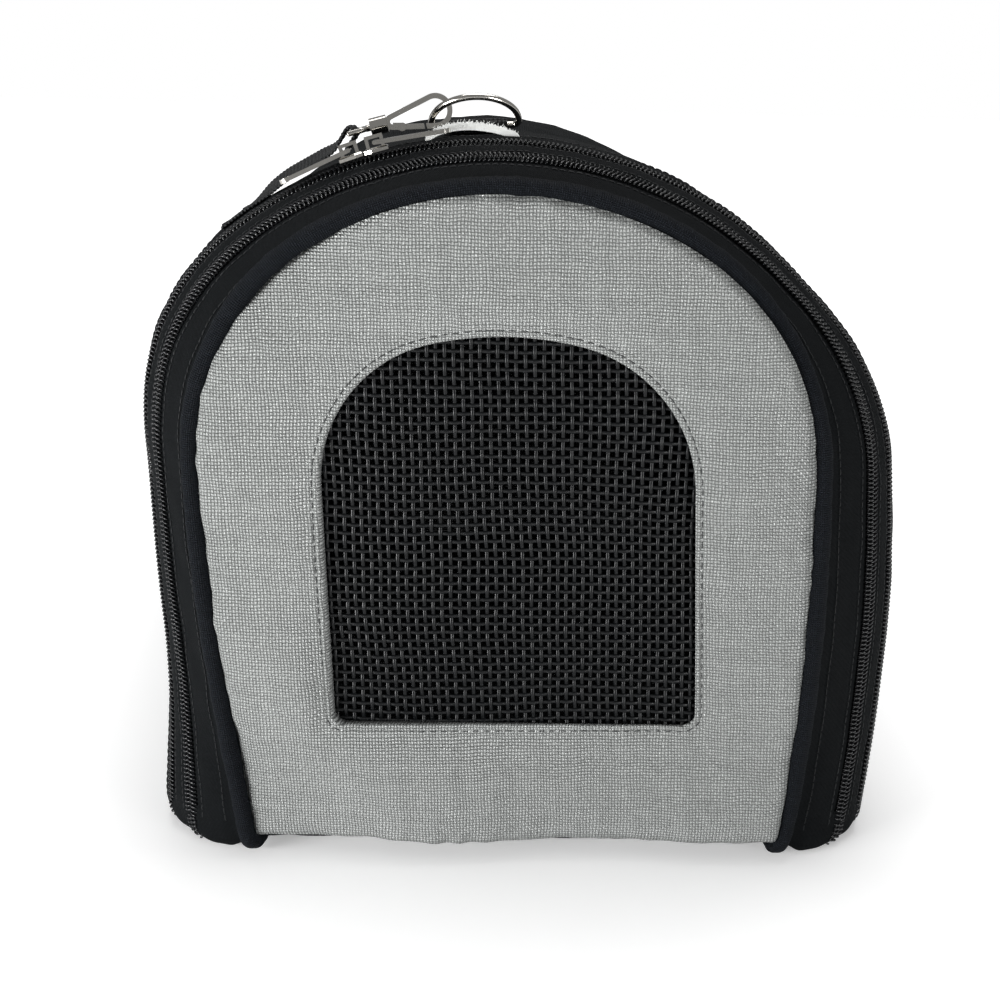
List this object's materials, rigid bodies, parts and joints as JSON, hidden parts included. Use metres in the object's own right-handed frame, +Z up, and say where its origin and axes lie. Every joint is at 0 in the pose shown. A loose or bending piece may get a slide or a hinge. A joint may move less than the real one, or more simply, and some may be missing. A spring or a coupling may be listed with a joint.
{
  "type": "soft-sided pet carrier",
  "caption": "Soft-sided pet carrier bag with an arched zip-down mesh door, round black body, and a strap clipped by a swivel snap hook to a ring on the roof.",
  "frame": {"origin": "on the floor under the middle of the base", "axes": "+Y along the bag from the door to the rear end, +Z up, +X to the right as seen from the door"},
  "size_m": [0.282, 0.4, 0.2776],
  "materials": {
    "panel_cloth": "coarse woven, silver grey",
    "mesh_net": "coated open net, satin black",
    "binding_tape": "folded binding, black",
    "piping_cord": "twill covered cord, navy black",
    "gusset_tape": "fine twill tape, black",
    "zip_coil": "nylon coil, black",
    "body_cloth": "coarse diagonal weave, black",
    "base_cloth": "coated weave, black",
    "base_plastic": "smooth board, black",
    "pad_cloth": "quilted fleece, grey",
    "spring_wire": "drawn wire",
    "nickel": "polished nickel plate",
    "webbing": "ribbed webbing, black",
    "label_cloth": "smooth woven, white, bare"
  },
  "bodies": {
    "bag": {"rear_panel": "panel_cloth", "front_hem": "binding_tape", "rear_piping": "piping_cord", "front_seam_tape": "gusset_tape", "front_left_tuck": "gusset_tape", "front_right_tuck": "gusset_tape", "main_zip_body_coil": "zip_coil", "left_wall": "body_cloth", "right_wall": "body_cloth", "roof_panel": "body_cloth", "rear_gusset": "body_cloth", "base_panel": "base_cloth", "base_board": "base_plastic", "sleeping_pad": "pad_cloth", "front_hoop": "spring_wire", "rear_hoop": "spring_wire", "swivel_eye": "nickel", "clip_strap": "webbing", "ring_tab": "webbing", "care_label": "label_cloth"},
    "door": {"door_panel": "panel_cloth", "door_mesh": "mesh_net", "door_window_binding": "binding_tape", "door_piping": "piping_cord", "door_tape": "gusset_tape", "first_zip_front_coil": "zip_coil", "first_zip_rear_coil": "zip_coil", "door_band": "gusset_tape", "main_zip_door_coil": "zip_coil"},
    "left_slider": {"left_slider": "nickel"},
    "left_pull": {"left_pull": "nickel"},
    "right_slider": {"right_slider": "nickel"},
    "right_pull": {"right_pull": "nickel"},
    "hook": {"hook_body": "nickel", "gate_pin": "nickel"},
    "gate": {"hook_gate": "nickel"},
    "ring": {"d_ring": "nickel"}
  },
  "joints": [
    {"name": "door_fold", "type": "hinge", "parent": "bag", "child": "door", "pos_m": [0, -0.199, 0.01], "axis": [1, 0, 0], "range_deg": [0, 90]},
    {"name": "left_slider_run", "type": "hinge", "parent": "bag", "child": "left_slider", "pos_m": [0, -0.163, 0.10775], "axis": [0, 1, 0], "range_deg": [-26, 0]},
    {"name": "right_slider_run", "type": "hinge", "parent": "bag", "child": "right_slider", "pos_m": [0, -0.163, 0.10775], "axis": [0, 1, 0], "range_deg": [0, 63]},
    {"name": "left_pull_flip", "type": "hinge", "parent": "left_slider", "child": "left_pull", "pos_m": [-0.05358, -0.163, 0.25719], "axis": [0, 1, 0], "range_deg": [0, 90]},
    {"name": "right_pull_flip", "type": "hinge", "parent": "right_slider", "child": "right_pull", "pos_m": [-0.04454, -0.163, 0.26013], "axis": [0, -1, 0], "range_deg": [0, 90]},
    {"name": "hook_swivel", "type": "hinge", "parent": "bag", "child": "hook", "pos_m": [-0.04441, -0.14603, 0.26527], "axis": [0.9636, 0, 0.2672], "range_deg": [-6, 6]},
    {"name": "gate_spring", "type": "hinge", "parent": "hook", "child": "gate", "pos_m": [-0.03545, -0.14603, 0.26512], "axis": [0, -1, 0], "range_deg": [0, 20], "stiffness_Nm_per_rad": 0.01, "springref_deg": -17.19},
    {"name": "ring_swing", "type": "hinge", "parent": "bag", "child": "ring", "pos_m": [-0.00907, -0.138, 0.26574], "axis": [0.9984, 0, 0.0568], "range_deg": [-2.5, 2.5]}
  ]
}
